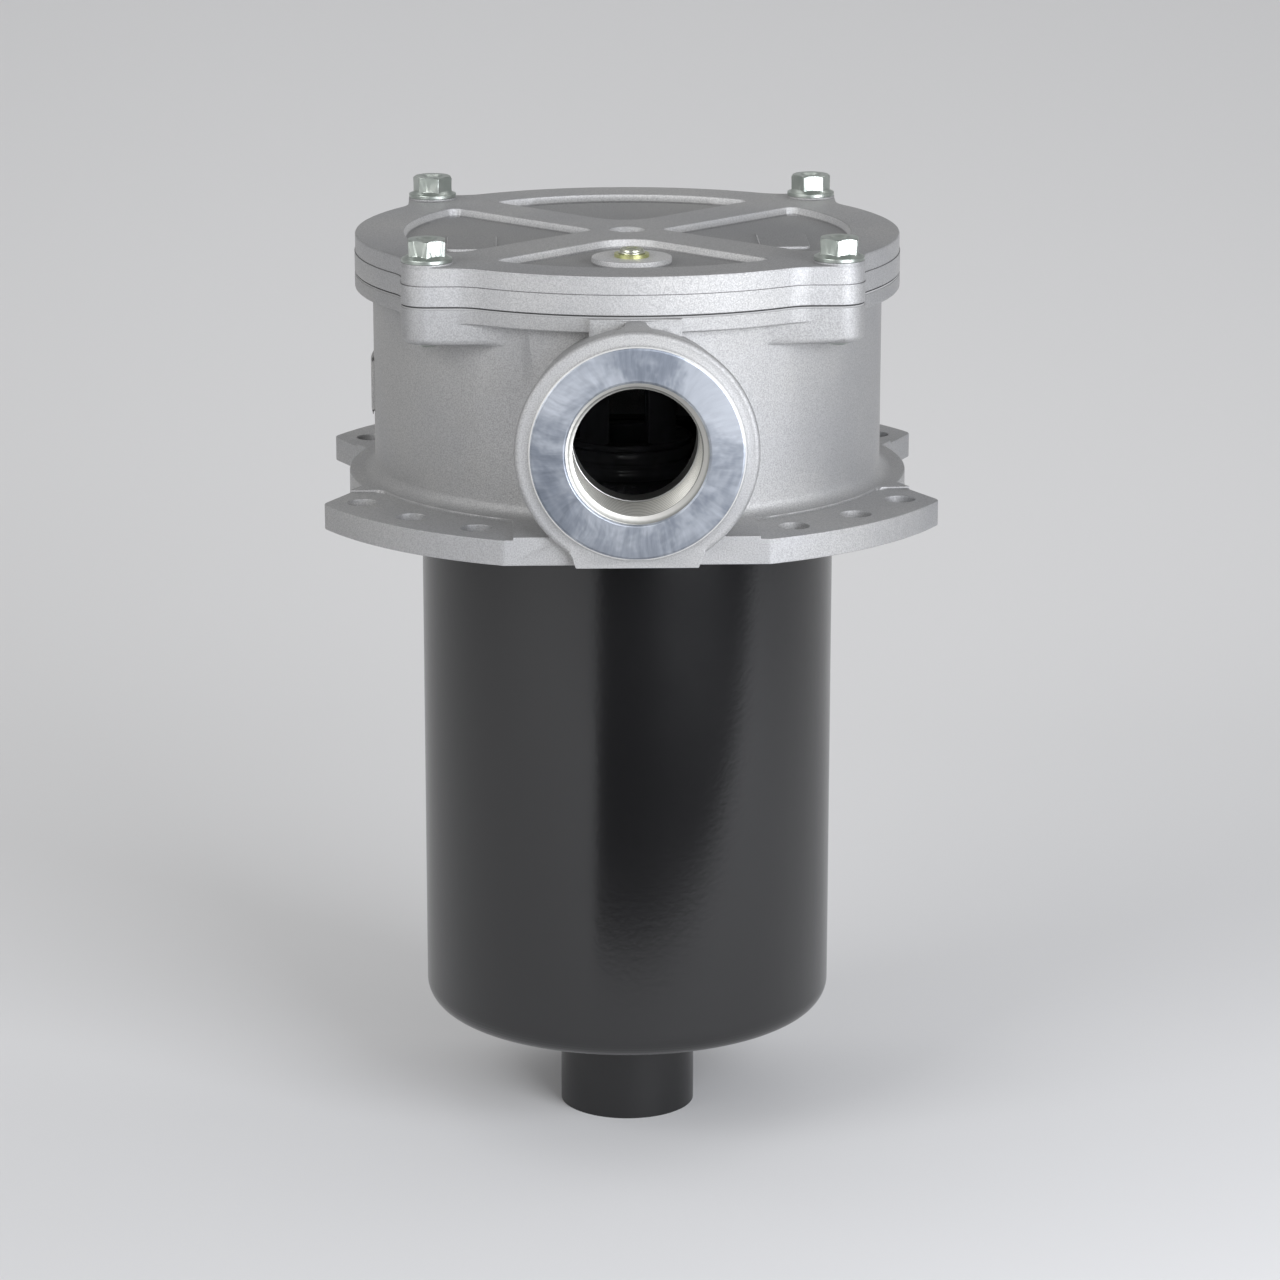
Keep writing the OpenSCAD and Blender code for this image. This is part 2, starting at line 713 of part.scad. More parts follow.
// Cage in the cap's neck: valve seat below, four windows, spring seat on top
module bypass_cage() {
    base_z = poppet_z;
    base_t = 3;
    window_z = neck_top + cage_rim_t;
    hood_r = cage_r - 2;
    in_r = hood_r - cage_wall;
    color(black_plastic)
        difference() {
            union() {
                translate([0, 0, base_z]) cylinder(r = cage_r, h = neck_top - base_z);
                translate([0, 0, neck_top]) cylinder(r = neck_r - 1, h = cage_rim_t);
                translate([0, 0, window_z]) cylinder(r = hood_r, h = cage_top - window_z);
                translate([0, 0, cage_top]) cylinder(r = spring_seat_r, h = 3);
            }
            translate([0, 0, base_z - cut]) cylinder(r = seat_r, h = base_t + 2 * cut);
            translate([0, 0, base_z + base_t])
                cylinder(r = in_r, h = cage_top - cage_roof_t - base_z - base_t);
            translate([0, 0, window_z])
                for (a = [0, 90])
                    rotate(a) translate([-cage_r, -cage_window_w / 2, 0])
                        cube([2 * cage_r, cage_window_w, cage_window_h]);
            cage_groove();
        }
}

module cage_groove() {
    groove_h = cage_ring_d + 0.6;
    translate([0, 0, cage_ring_z - groove_h / 2])
        difference() {
            cylinder(r = cage_r + cut, h = groove_h);
            translate([0, 0, -cut]) cylinder(r = cage_r - cage_groove_d, h = groove_h + 2 * cut);
        }
}

module bypass_cage_seal() {
    color(rubber) seal_ring(cage_r - cage_groove_d + ring_gap + cage_ring_d / 2, cage_ring_d, cage_ring_z);
}

// Poppet with a domed face towards the seat and a stem below
module bypass_poppet() {
    color([0.55, 0.5, 0.35])
        translate([0, 0, poppet_z])
            rotate_extrude()
                polygon(concat([[0, -retainer_drop - 2], [stem_r - 0.5, -retainer_drop - 2],
                                [stem_r, -retainer_drop - 1.5], [stem_r, -poppet_t], [poppet_r, -poppet_t],
                                [poppet_r, 0], [seat_r - 0.8, 0]],
                               arc(0, 2.4 - 40, 40, 72, 90, 6)));
}

module bypass_spring() {
    color(spring_steel)
        coil_spring(valve_coil_r, valve_wire, poppet_z - retainer_drop + retainer_t, poppet_z - poppet_t, 5);
}

// Stirrup under the seat: a ring, three legs and a guide plate for the stem
module bypass_retainer() {
    leg_r = cage_r - leg_t;
    color([0.6, 0.6, 0.58])
        difference() {
            union() {
                difference() {
                    translate([0, 0, poppet_z - 3]) cylinder(r = cage_r, h = 3);
                    translate([0, 0, poppet_z - 3 - cut]) cylinder(r = leg_r, h = 3 + 2 * cut);
                }
                translate([0, 0, poppet_z - retainer_drop]) cylinder(r = cage_r, h = retainer_t);
                for (a = [0, 120, 240]) rotate(a)
                    translate([leg_r, -leg_w / 2, poppet_z - retainer_drop])
                        cube([leg_t - 0.3, leg_w, retainer_drop - 1]);
            }
            translate([0, 0, poppet_z - retainer_drop - cut])
                cylinder(r = stem_r + stem_gap, h = retainer_t + 2 * cut);
            for (a = [60, 180, 300]) rotate(a)
                translate([(cage_r + valve_coil_r) / 2 + 0.5, 0, poppet_z - retainer_drop - cut])
                    cylinder(r = 4, h = retainer_t + 2 * cut, $fn = 32);
        }
}

module hold_down_spring() {
    color(spring_steel)
        coil_spring(hold_coil_r, hold_wire, cage_top, cover_z + under_recess, 4);
}

head();
cover();
cover_gasket();
cover_bolt(0);  // cover_bolt_1
cover_bolt(1);  // cover_bolt_2
cover_bolt(2);  // cover_bolt_3
cover_bolt(3);  // cover_bolt_4
bleed_plug();
bleed_plug_seal();
bowl();
bowl_seal();
outlet_tube();
element_top_cap();
element_media();
element_core();
element_bottom_cap();
element_seal();
bypass_cage();
bypass_cage_seal();
bypass_poppet();
bypass_spring();
bypass_retainer();
hold_down_spring();
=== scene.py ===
# Dressing of a tank-top return-line hydraulic filter: finishes, softened edges, studio and camera.
# Units are metres. The bowl's axis is X = Y = 0, and the inlet port looks towards -Y.
import bpy
import math
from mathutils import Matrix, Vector


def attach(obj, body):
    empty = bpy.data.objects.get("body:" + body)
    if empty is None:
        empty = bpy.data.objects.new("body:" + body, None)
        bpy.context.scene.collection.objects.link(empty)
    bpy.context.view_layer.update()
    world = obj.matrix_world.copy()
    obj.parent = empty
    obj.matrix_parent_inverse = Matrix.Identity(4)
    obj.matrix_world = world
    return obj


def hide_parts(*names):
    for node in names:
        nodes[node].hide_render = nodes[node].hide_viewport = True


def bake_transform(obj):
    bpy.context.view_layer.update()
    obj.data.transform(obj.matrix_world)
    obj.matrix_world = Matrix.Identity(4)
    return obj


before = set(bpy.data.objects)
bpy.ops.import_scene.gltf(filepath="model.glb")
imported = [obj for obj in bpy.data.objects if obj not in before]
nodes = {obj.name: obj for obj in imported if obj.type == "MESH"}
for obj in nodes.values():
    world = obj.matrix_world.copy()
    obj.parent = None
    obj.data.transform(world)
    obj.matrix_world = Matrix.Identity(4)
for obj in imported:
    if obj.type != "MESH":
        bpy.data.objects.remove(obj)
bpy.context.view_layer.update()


def deselectAll():
    if bpy.context.object and bpy.context.object.mode != "OBJECT":
        bpy.ops.object.mode_set(mode="OBJECT")
    bpy.ops.object.select_all(action="DESELECT")


# Leaves edit mode, picks faces or edges by a test on their centre and normal, and goes back in
def pick(piece, test, kind="FACE"):
    bpy.ops.object.mode_set(mode="OBJECT")
    mesh = piece.data
    for group in (mesh.vertices, mesh.edges, mesh.polygons):
        group.foreach_set("select", [False] * len(group))
    if kind == "FACE":
        for face in mesh.polygons:
            face.select = test(face.center, face.normal)
    else:
        for edge in mesh.edges:
            a, b = (mesh.vertices[v].co for v in edge.vertices)
            edge.select = test((a + b) / 2, b - a)
    bpy.context.tool_settings.mesh_select_mode = (False, kind == "EDGE", kind == "FACE")
    bpy.ops.object.mode_set(mode="EDIT")


def applyPlace(piece):
    deselectAll()
    piece.select_set(True)
    bpy.context.view_layer.objects.active = piece
    bpy.ops.object.transform_apply(location=True, rotation=True, scale=True)


# Each edge between two faces: its middle, its run, the angle across it, and whether it points outward
def edgeTurns(mesh):
    sides = {}
    for face in mesh.polygons:
        for key in face.edge_keys:
            sides.setdefault(key, []).append(face)
    for edge in mesh.edges:
        if len(sides[edge.key]) == 2:
            a, b = sides[edge.key]
            start, end = (mesh.vertices[v].co for v in edge.vertices)
            outward = (b.center - a.center).dot(a.normal) < 0
            turn = math.degrees(a.normal.angle(b.normal, 0))
            yield edge, (start + end) / 2, end - start, turn, outward


# Gives each sharp outward edge its share of the round's width
def weighEdges(mesh, angle, share):
    weights = [0.0] * len(mesh.edges)
    for edge, at, along, turn, outward in edgeTurns(mesh):
        if turn > angle and outward:
            weights[edge.index] = share(at, along)
    layer = mesh.attributes.new("bevel_weight_edge", "FLOAT", "EDGE")
    layer.data.foreach_set("value", weights)


softening = {
    "weld": 0.00001,            # points closer than this become one
    "coplanar": 0.3,            # in degrees: faces that turn less than this become one
    "creaseTurn": 7,            # in degrees: a crease that turns more than this can stay crisp
}


# Copy of a CAD node with its outward edges rounded
def softCopy(node, name, width, share, segments=2, angle=35, crease=None, smooth=30):
    piece = bpy.data.objects.new(name, nodes[node].data.copy())
    piece.data.name = name
    bpy.context.collection.objects.link(piece)
    deselectAll()
    piece.select_set(True)
    bpy.context.view_layer.objects.active = piece
    bpy.ops.object.mode_set(mode="EDIT")
    bpy.ops.mesh.select_all(action="SELECT")
    bpy.ops.mesh.remove_doubles(threshold=softening["weld"])
    bpy.ops.mesh.dissolve_limited(angle_limit=math.radians(softening["coplanar"]))
    bpy.ops.mesh.select_all(action="SELECT")
    bpy.ops.mesh.quads_convert_to_tris(quad_method="BEAUTY", ngon_method="BEAUTY")
    bpy.ops.object.mode_set(mode="OBJECT")
    weighEdges(piece.data, angle, share)
    bevel = piece.modifiers.new("softEdges", "BEVEL")
    bevel.width = width
    bevel.segments = segments
    bevel.limit_method = "WEIGHT"
    bevel.use_clamp_overlap = False
    bpy.ops.object.modifier_apply(modifier=bevel.name)
    bpy.ops.object.shade_smooth_by_angle(angle=math.radians(smooth))
    if crease:
        for edge, at, along, turn, outward in edgeTurns(piece.data):
            if turn > softening["creaseTurn"] and not outward and crease(at):
                edge.use_edge_sharp = True
    flat = piece.modifiers.new("flatFaces", "WEIGHTED_NORMAL")
    flat.keep_sharp = True
    bpy.ops.object.modifier_apply(modifier=flat.name)
    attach(piece, "housing")
    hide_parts(node)
    return piece


# Camera, from a fit to the rims, the port face and the bolts of the photograph
view = {
    "photoSize": 1280,          # pixels across the photograph
    "focal": 4376,              # focal length in those pixels
    "distance": 1.6448,         # from the look-at point
    "lookHeight": 0.18173,
    "elevation": 14.79,
    "azimuth": -1.66,
    "shift": -12.7,             # sideways offset of the image, in pixels
}


def makeCamera(v):
    data = bpy.data.cameras.new("camera")
    data.sensor_width = 36
    data.lens = v["focal"] * data.sensor_width / v["photoSize"]
    data.shift_x = -v["shift"] / v["photoSize"]
    cam = bpy.data.objects.new("camera", data)
    bpy.context.collection.objects.link(cam)
    el, az = math.radians(v["elevation"]), math.radians(v["azimuth"])
    back = Vector((math.sin(az) * math.cos(el), -math.cos(az) * math.cos(el), math.sin(el)))
    look = Vector((0, 0, v["lookHeight"]))
    cam.location = look + back * v["distance"]
    cam.rotation_euler = back.to_track_quat("Z", "Y").to_euler()
    bpy.context.scene.camera = cam


makeCamera(view)
print("camera ready")


# One shader socket, with arithmetic that adds Math nodes
class Wire:
    def __init__(self, mat, socket):
        self.mat = mat
        self.socket = socket

    def math(self, kind, a, b):
        return self.mat.math(kind, a, b)

    def __add__(self, other):
        return self.math("ADD", self, other)

    __radd__ = __add__

    def __sub__(self, other):
        return self.math("SUBTRACT", self, other)

    def __rsub__(self, other):
        return self.math("SUBTRACT", other, self)

    def __mul__(self, other):
        return self.math("MULTIPLY", self, other)

    def __truediv__(self, other):
        return self.math("DIVIDE", self, other)

    def __pow__(self, other):
        return self.math("POWER", self, other)

    def __gt__(self, other):
        return self.math("GREATER_THAN", self, other)

    def __lt__(self, other):
        return self.math("LESS_THAN", self, other)


class Finish:
    def __init__(self, name):
        self.material = bpy.data.materials.new(name)
        self.material.use_nodes = True
        self.tree = self.material.node_tree
        self.shader = self.tree.nodes["Principled BSDF"]
        self.place = self.node("ShaderNodeTexCoord", {}, {}, "Object")

    # Adds any node: settings first, then values or wires for its sockets, by index or name
    def node(self, kind, settings=None, inputs=None, output=0):
        made = self.tree.nodes.new(kind)
        for key, value in (settings or {}).items():
            setattr(made, key, value)
        pairs = inputs.items() if isinstance(inputs, dict) else enumerate(inputs or [])
        for key, value in pairs:
            if value is None:
                continue
            if isinstance(value, Wire):
                self.tree.links.new(value.socket, made.inputs[key])
            else:
                made.inputs[key].default_value = value
        return Wire(self, made.outputs[output])

    def math(self, kind, *values):
        return self.node("ShaderNodeMath", {"operation": kind}, values)

    def noise(self, scale, detail=3.0, rough=0.5, at=None):
        return self.node("ShaderNodeTexNoise", {}, {"Vector": at or self.place, "Scale": scale,
                         "Detail": detail, "Roughness": rough, "Distortion": 0.0})

    # Smooth ramp from low to high, held at both ends
    def ramp(self, value, low, high, to=(0.0, 1.0)):
        return self.node("ShaderNodeMapRange", {"interpolation_type": "SMOOTHSTEP"},
                         {"Value": value, "From Min": low, "From Max": high,
                          "To Min": to[0], "To Max": to[1]})

    def mixColour(self, amount, a, b):
        a = a if isinstance(a, Wire) else (*a, 1)
        b = b if isinstance(b, Wire) else (*b, 1)
        return self.node("ShaderNodeMix", {"data_type": "RGBA", "blend_type": "MIX"},
                         {0: amount, 6: a, 7: b}, 2)

    def axes(self):
        split = self.node("ShaderNodeSeparateXYZ", {}, [self.place]).socket.node
        return [Wire(self, out) for out in split.outputs]

    def scaled(self, colour, gain):
        return self.node("ShaderNodeVectorMath", {"operation": "SCALE"}, {"Vector": colour, "Scale": gain})

    def bump(self, height, strength, distance, below=None):
        return self.node("ShaderNodeBump", {}, {"Height": height, "Strength": strength,
                         "Distance": distance, "Normal": below})

    def set(self, **sockets):
        names = {"colour": "Base Color", "roughness": "Roughness", "metallic": "Metallic",
                 "normal": "Normal", "ior": "IOR", "specular": "Specular IOR Level"}
        for key, value in sockets.items():
            target = self.shader.inputs[names[key]]
            if isinstance(value, Wire):
                self.tree.links.new(value.socket, target)
            elif key == "colour":
                target.default_value = (*value, 1)
            else:
                target.default_value = value
        return self.material


# Die-cast aluminium, shot-blasted: matte, finely grained, with faint clouds
castLook = {
    "tone": 0.5,
    "metallic": 0.8,
    "roughness": (0.56, 0.72),
    "fineScale": 2000,
    "coarseScale": 330,
    "cloudScale": 14,
    "cool": (0.93, 0.935, 0.95),        # shares of the tone, from cloud to cloud
    "warm": (1.05, 1.045, 1.03),
    "speck": (0.6, 0.6, 0.61),          # share of the tone in the dark specks
    "speckAmount": 0.5,
    "grain": 0.0003,
    "bump": 0.7,
}


def castBase(name, look):
    f = Finish(name)
    fine = f.noise(look["fineScale"], 3, 0.7)
    coarse = f.noise(look["coarseScale"], 3, 0.55)
    cloud = f.ramp(f.noise(look["cloudScale"], 4, 0.6), 0.3, 0.7)
    parts = ("cool", "warm", "speck")
    cool, warm, dark = (tuple(look["tone"] * share for share in look[part]) for part in parts)
    shade = f.mixColour(cloud, cool, warm)
    speck = f.ramp(fine, 0.4, 0.62)
    shade = f.mixColour(speck * look["speckAmount"], shade, dark)
    low, high = look["roughness"]
    rough = f.ramp(fine + cloud * 0.3, 0.3, 1.0, (low, high))
    height = fine * 0.6 + coarse * 0.4
    return f, shade, rough, height


def castSet(f, look, shade, rough, height):
    return f.set(metallic=look["metallic"], roughness=rough, colour=shade,
                 normal=f.bump(height, look["bump"], look["grain"]))


# The cover is painted brighter on its side (painted light) and on the walls of its pockets (painted
# highlight), darker on their floors (painted shade), and has a fine parting line, darkened along it as
# painted shade
coverLook = {
    "rimRadius": 0.09,
    "pocketRadius": 0.088,
    "floor": (0.3349, 0.3353),
    "wallTop": 0.33735,
    "top": (0.3366, 0.3375),
    # side is a gain of painted light, wall of painted highlight, pocket and partingShade of painted shade
    "side": 1.12,
    "pocket": 0.8,
    "wall": 1.42,
    "parting": 0.3311,
    "partingHalf": 0.00016,
    "partingShade": 0.45,
}


def coverFinish(name, look, cover):
    f, shade, rough, height = castBase(name, look)
    x, y, z = f.axes()
    radius = (x * x + y * y) ** 0.5
    rim = radius > cover["rimRadius"]
    # Painted light on the side below the top edge
    gain = 1 + rim * (1 - f.ramp(z, *cover["top"])) * (cover["side"] - 1)
    inside = radius < cover["pocketRadius"]
    raised = f.ramp(z, *cover["floor"])
    # Painted shade on the pockets' floors
    gain = gain - inside * (1 - raised) * (1 - cover["pocket"])
    # Painted highlight on the pockets' walls
    gain = gain + inside * raised * (z < cover["wallTop"]) * (cover["wall"] - 1)
    # Painted shade along the parting line
    away = f.math("ABSOLUTE", z - cover["parting"])
    line = rim * (away < cover["partingHalf"])
    gain = gain * (1 - line * (1 - cover["partingShade"]))
    return castSet(f, look, f.scaled(shade, gain), rough, height)


coverCast = coverFinish("coverCasting", castLook, coverLook)


# The head adds the machined sealing face with a painted reflection, the threaded bore with painted
# highlights and shade, and the cast bore behind it
portLook = {
    "height": 0.2797,           # of the port's axis
    "faceY": -0.1214,           # the machined face lies in front of this
    "faceRadius": 0.0371,
    "slopeRadius": 0.0386,      # outer edge of the slope round the face, which carries a painted highlight
    "boreRadius": 0.0262,       # the thread and its countersink lie within this
    "threadY": -0.097,          # inner end of the thread
    "wallY": -0.0868,           # inner end of the bright bore
    "pitch": 0.0023,
    "fullTurn": 6.2832,         # in radians
    "threadDepth": 0.0022,
    "lobeTurn": 1.02,           # turns the three lobes of the face's sheen
    "catch": 0.32,              # the painted reflection's mean level, and what each cause adds to it
    "lobeCatch": 0.12,
    "topCatch": 0.02,
    "blotchCatch": 0.46,
    "scratchCatch": 0.14,
    "faceRough": (0.46, 0.08),  # least, and what the scratches add
    "boreRough": 0.42,
    # Colours below: the machined face's painted reflection runs from dark blue-grey to pale; the slope gets
    # a painted highlight; the thread a painted highlight on its flanks and painted shade in its grooves
    "faceReflectionDark": (0.13, 0.155, 0.2),
    "faceReflectionPale": (0.55, 0.58, 0.63),
    "slopeHighlight": (0.7, 0.7, 0.69),
    "threadHighlight": (0.74, 0.73, 0.69),
    "grooveShade": (0.3, 0.3, 0.28),
    "boreColour": (0.42, 0.42, 0.41),
}


def headFinish(name, look, port):
    f, shade, rough, height = castBase(name, look)
    x, y, z = f.axes()
    up = z - port["height"]
    radius = (x * x + up * up) ** 0.5
    angle = f.math("ARCTAN2", up, x)
    inFront = y < port["faceY"]
    face = inFront * (radius < port["faceRadius"])
    bore = (y < port["wallY"]) * (radius < port["boreRadius"])
    threaded = bore * (y < port["threadY"]) * (1 - inFront)
    warp = f.noise(30, 2, 0.5)
    polar = f.node("ShaderNodeCombineXYZ", {}, [angle * 1.3 + warp * 1.5, radius * 40, 7.0])
    rays = f.node("ShaderNodeCombineXYZ", {}, [angle * 22 + warp * 9, radius * 90, 3.0])
    blotch = f.ramp(f.noise(1.0, 4, 0.65, polar), 0.4, 0.6)
    scratch = f.ramp(f.noise(1.0, 4, 0.7, rays), 0.3, 0.75)
    # Painted reflection: the turned face's colour lightens in three broad lobes, brightest towards the top,
    # in blotches, and along the tool marks' scratches
    lobes = f.math("COSINE", angle * 3 - port["lobeTurn"])
    high = f.math("SINE", angle)
    catch = port["catch"] + lobes * port["lobeCatch"] + high * port["topCatch"]
    catch = catch + blotch * port["blotchCatch"] + scratch * port["scratchCatch"]
    paintedReflection = f.mixColour(catch, port["faceReflectionDark"], port["faceReflectionPale"])
    thread = f.math("FRACT", y / port["pitch"] + angle / port["fullTurn"])
    # Painted highlight on the slope round the face
    slope = inFront * (radius > port["faceRadius"]) * (radius < port["slopeRadius"])
    shade = f.mixColour(slope, shade, port["slopeHighlight"])
    shade = f.mixColour(face, shade, paintedReflection)
    # Painted highlight on the thread's flanks and painted shade in its grooves
    threadLightAndShade = f.mixColour(f.ramp(thread, 0.1, 0.55), port["grooveShade"], port["threadHighlight"])
    shade = f.mixColour(threaded, shade, threadLightAndShade)
    mouth = bore * (1 - threaded) * (1 - face)
    shade = f.mixColour(mouth, shade, port["boreColour"])
    either = f.math("MAXIMUM", face, bore)
    least, added = port["faceRough"]
    rough = rough * (1 - either) + face * (least + scratch * added)
    rough = rough + bore * (1 - face) * port["boreRough"]
    grainNormal = f.bump(height * (1 - either), look["bump"], look["grain"])
    normal = f.bump(thread * threaded, 1.0, port["threadDepth"], grainNormal)
    metallic = look["metallic"] + either * (1 - look["metallic"])
    return f.set(metallic=metallic, roughness=rough, colour=shade, normal=normal)


headCast = headFinish("headCasting", castLook, portLook)


# Semi-gloss black paint with a faint orange peel
def paintFinish(name, roughness, ior):
    f = Finish(name)
    peel = f.noise(420, 2, 0.5)
    dust = f.ramp(f.noise(2600, 2, 0.5), 0.66, 0.8)
    f.set(colour=f.mixColour(dust * 0.25, (0.006, 0.006, 0.0065), (0.05, 0.05, 0.05)),
          roughness=f.ramp(f.noise(9, 3, 0.5), 0.3, 0.7, (roughness * 0.9, roughness * 1.15)),
          ior=ior, normal=f.bump(peel, 0.08, 0.0004))
    return f.material


bowlPaint = paintFinish("bowlPaint", 0.2, 1.68)
tubePaint = paintFinish("tubePaint", 0.3, 1.6)


def zincFinish(name, colour, tint, roughness=0.3):
    f = Finish(name)
    cloud = f.ramp(f.noise(120, 3, 0.6), 0.35, 0.65)
    f.set(colour=f.mixColour(cloud, colour, tint), metallic=1.0,
          roughness=f.ramp(f.noise(300, 3, 0.6), 0.3, 0.7, (roughness, roughness + 0.06)),
          normal=f.bump(f.noise(900, 2, 0.5), 0.04, 0.00005))
    return f.material


boltZinc = zincFinish("clearZinc", (0.6, 0.64, 0.6), (0.52, 0.57, 0.53), 0.34)
plugZinc = zincFinish("plugZinc", (0.74, 0.74, 0.66), (0.62, 0.64, 0.50))
ringZinc = zincFinish("yellowZinc", (0.66, 0.66, 0.34), (0.55, 0.60, 0.25))
plainZinc = zincFinish("platedSteel", (0.68, 0.68, 0.68), (0.60, 0.61, 0.63))
turnedSteel = zincFinish("turnedSteel", (0.56, 0.55, 0.53), (0.50, 0.50, 0.50))


def darkFinish(name, colour, roughness, scale=900):
    f = Finish(name)
    cloud = f.ramp(f.noise(60, 3, 0.6), 0.35, 0.65)
    dark = tuple(c * 0.75 for c in colour)
    f.set(colour=f.mixColour(cloud, dark, colour),
          roughness=f.ramp(f.noise(scale, 3, 0.6), 0.3, 0.7, (roughness * 0.85, roughness * 1.15)),
          normal=f.bump(f.noise(scale, 2, 0.5), 0.2, 0.0001))
    return f.material


nylon = darkFinish("blackNylon", (0.1, 0.1, 0.11), 0.18)
rubber = darkFinish("sealRubber", (0.02, 0.02, 0.02), 0.65)


# The gasket shows as a thin dark line under the cover
def gasketFinish(name, lineFrom):
    f = Finish(name)
    z = f.axes()[2]
    return f.set(colour=f.mixColour(z > lineFrom, (0.34, 0.34, 0.34), (0.03, 0.03, 0.03)), roughness=0.8)


gasketFibre = gasketFinish("gasketFibre", 0.3234)
springSteel = darkFinish("springSteel", (0.035, 0.035, 0.038), 0.4)
media = darkFinish("pleatedMedia", (0.72, 0.65, 0.46), 0.9, 1800)

finishes = {
    "head": headCast, "cover": coverCast, "cover_gasket": gasketFibre, "bleed_plug": plugZinc,
    "bleed_plug_seal": ringZinc, "bowl": bowlPaint, "bowl_seal": rubber, "outlet_tube": tubePaint,
    "element_top_cap": nylon, "element_media": media, "element_core": plainZinc,
    "element_bottom_cap": nylon, "element_seal": rubber, "bypass_cage": nylon, "bypass_cage_seal": rubber,
    "bypass_poppet": turnedSteel, "bypass_spring": springSteel, "bypass_retainer": plainZinc,
    "hold_down_spring": springSteel,
}
for index in range(1, 5):
    finishes["cover_bolt_%d" % index] = boltZinc


def dress(piece, material):
    piece.data.materials.clear()
    piece.data.materials.append(material)


for name, material in finishes.items():
    dress(nodes[name], material)
print("finishes ready")

# Castings and bolts with rounded edges
castEdges = {
    "width": 0.003,             # the widest round, on the lower edges of the bolt bosses
    "usual": 0.25,              # the other rounds are shares of that width
    "coverUsual": 0.225,
    "small": 0.12,
    "slight": 0.08,
    "bossBottom": 0.3098,
    "bossNear": 0.0004,         # heights closer than this count as equal, and so for hubNear and partingNear
    "bossFrom": 0.062,          # the bosses lie farther out than this, both ways
    "boltAt": 0.07235,          # the bolts' places, both ways
    "boltClear": 0.006,
    "boltTop": 0.3455,
    "headTop": 0.3222,          # above this the head's edges lie under the gasket
    "coverLow": 0.3245,         # below this the cover's edges lie on the gasket
    "seats": 0.3378,            # the bolts' seats are higher than this
    "parting": 0.331,           # height of the cover's parting line, which stays sharp
    "partingNear": 0.0006,
    "rearFrom": 0.11,           # the plate's rear flat stays sharp
    "hubTop": 0.2493,           # the hub stands only a little over the plate, so its edge stays sharp
    "hubNear": 0.0002,
    "hubRadius": 0.1,
    "plateTop": 0.2502,
    "level": 0.0001,            # an edge that rises less than this lies level
    "footTop": 0.2535,
    "footHalf": 0.05,
    "footFrom": -0.09,
    "footReach": 0.0425,        # the boss's foot lies farther from the port's axis than this
    "boreFrom": -0.08,
    "boreReach": 0.03,
}


def portReach(at):
    return math.hypot(at.x, at.z - portLook["height"])


def headShare(at, along):
    c = castEdges
    x, y = abs(at.x), abs(at.y)
    low = abs(at.z - c["bossBottom"]) < c["bossNear"] and min(x, y) > c["bossFrom"]
    if low and math.hypot(x - c["boltAt"], y - c["boltAt"]) > c["boltClear"]:
        return 1.0
    radius = math.hypot(at.x, at.y)
    if at.y > c["rearFrom"] or (abs(at.z - c["hubTop"]) < c["hubNear"] and radius < c["hubRadius"]):
        return 0.0
    reach = portReach(at)
    inFoot = at.z < c["footTop"] and at.y < c["footFrom"] and x < c["footHalf"]
    bored = at.y < c["boreFrom"] and reach < c["boreReach"]
    if (inFoot and reach > c["footReach"]) or bored or at.z > c["headTop"]:
        return c["slight"]
    drilled = at.z < c["plateTop"] and abs(along.z) < c["level"] and radius > c["hubRadius"]
    return c["small"] if drilled else c["usual"]


# The shallow creases where the port's boss meets the wall stay crisp
bossCreases = {"reach": (0.028, 0.05), "depth": (-0.0945, -0.07), "above": 0.262}


def bossCrease(at):
    c = bossCreases
    near = c["reach"][0] < portReach(at) < c["reach"][1]
    return near and c["depth"][0] < at.y < c["depth"][1] and at.z > c["above"]


def coverShare(at, along):
    c = castEdges
    if abs(at.z - c["parting"]) < c["partingNear"]:
        return 0.0
    if at.z < c["coverLow"] or at.z > c["seats"]:
        return c["slight"]
    inPocket = math.hypot(at.x, at.y) < coverLook["pocketRadius"]
    return c["small"] if inPocket else c["coverUsual"]


# The chamfered top of a bolt's head stays sharp
def boltShare(at, along):
    return float(at.z < castEdges["boltTop"])


def fullShare(at, along):
    return 1.0


# Node, name of its copy, width of the rounds, share, and what differs from softCopy's usual values
softened = [
    ("head", "headCasting", castEdges["width"], headShare, {"segments": 3, "crease": bossCrease}),
    ("cover", "coverCasting", castEdges["width"], coverShare, {}),
    ("bleed_plug", "ventPlug", 0.0002, fullShare, {}),
    ("element_top_cap", "elementNeck", 0.0009, fullShare, {"segments": 4, "angle": 50}),
    ("bypass_cage", "valveCage", 0.0009, fullShare, {"segments": 4, "angle": 50}),
]
for index, letter in enumerate("ABCD", 1):
    softened.append(("cover_bolt_%d" % index, "coverBolt" + letter, 0.00025, boltShare, {"smooth": 12}))
for node, name, width, share, extra in softened:
    dress(softCopy(node, name, width, share, **extra), finishes[node])
print("rounded castings and bolts ready")

# The bypass spring is copied in spring steel in place of its CAD node; springEnds lists the heights of its
# foot and top, which do not move or shorten it
springEnds = {"foot": (0, 0, 0.2186), "top": (0, 0, 0.24)}
coil = bpy.data.objects.new("valveSpring", nodes["bypass_spring"].data.copy())
bpy.context.collection.objects.link(coil)
dress(coil, springSteel)
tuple(springEnds["foot"])
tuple(springEnds["top"])
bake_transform(coil)
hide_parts("bypass_spring")
print("bypass spring ready")

